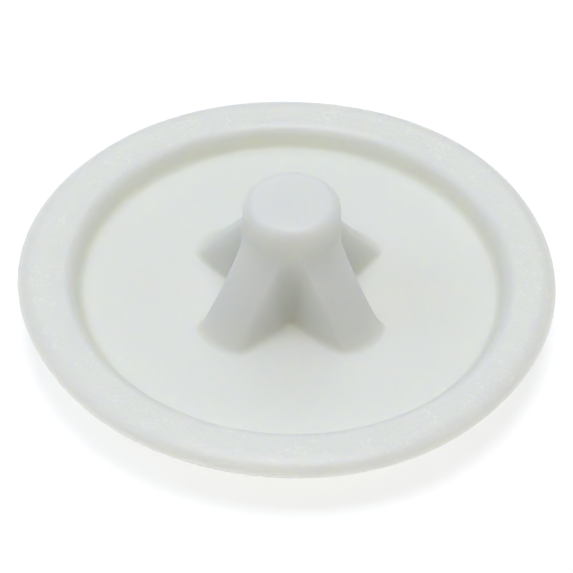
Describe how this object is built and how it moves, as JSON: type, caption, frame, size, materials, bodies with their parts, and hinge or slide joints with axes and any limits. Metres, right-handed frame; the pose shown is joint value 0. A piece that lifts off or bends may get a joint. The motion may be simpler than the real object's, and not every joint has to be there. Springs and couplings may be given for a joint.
{
  "type": "screw cover cap",
  "caption": "Round push-in screw cover cap with a shallow recess inside its rim and a finned cross peg that presses into the screw's recess.",
  "frame": {"origin": "centre of the flat of the cover face, which is the lowest face when the cap lies with its peg up", "axes": "+Z from the cover face along the peg; the peg's fins stand at 47.5 degrees from +X and every quarter turn on from there"},
  "size_m": [0.012, 0.012, 0.0038],
  "materials": {
    "white_plastic": "satin, spark-eroded grain on the rim"
  },
  "bodies": {
    "root": {"screw_cover_cap": "white_plastic"}
  },
  "joints": []
}
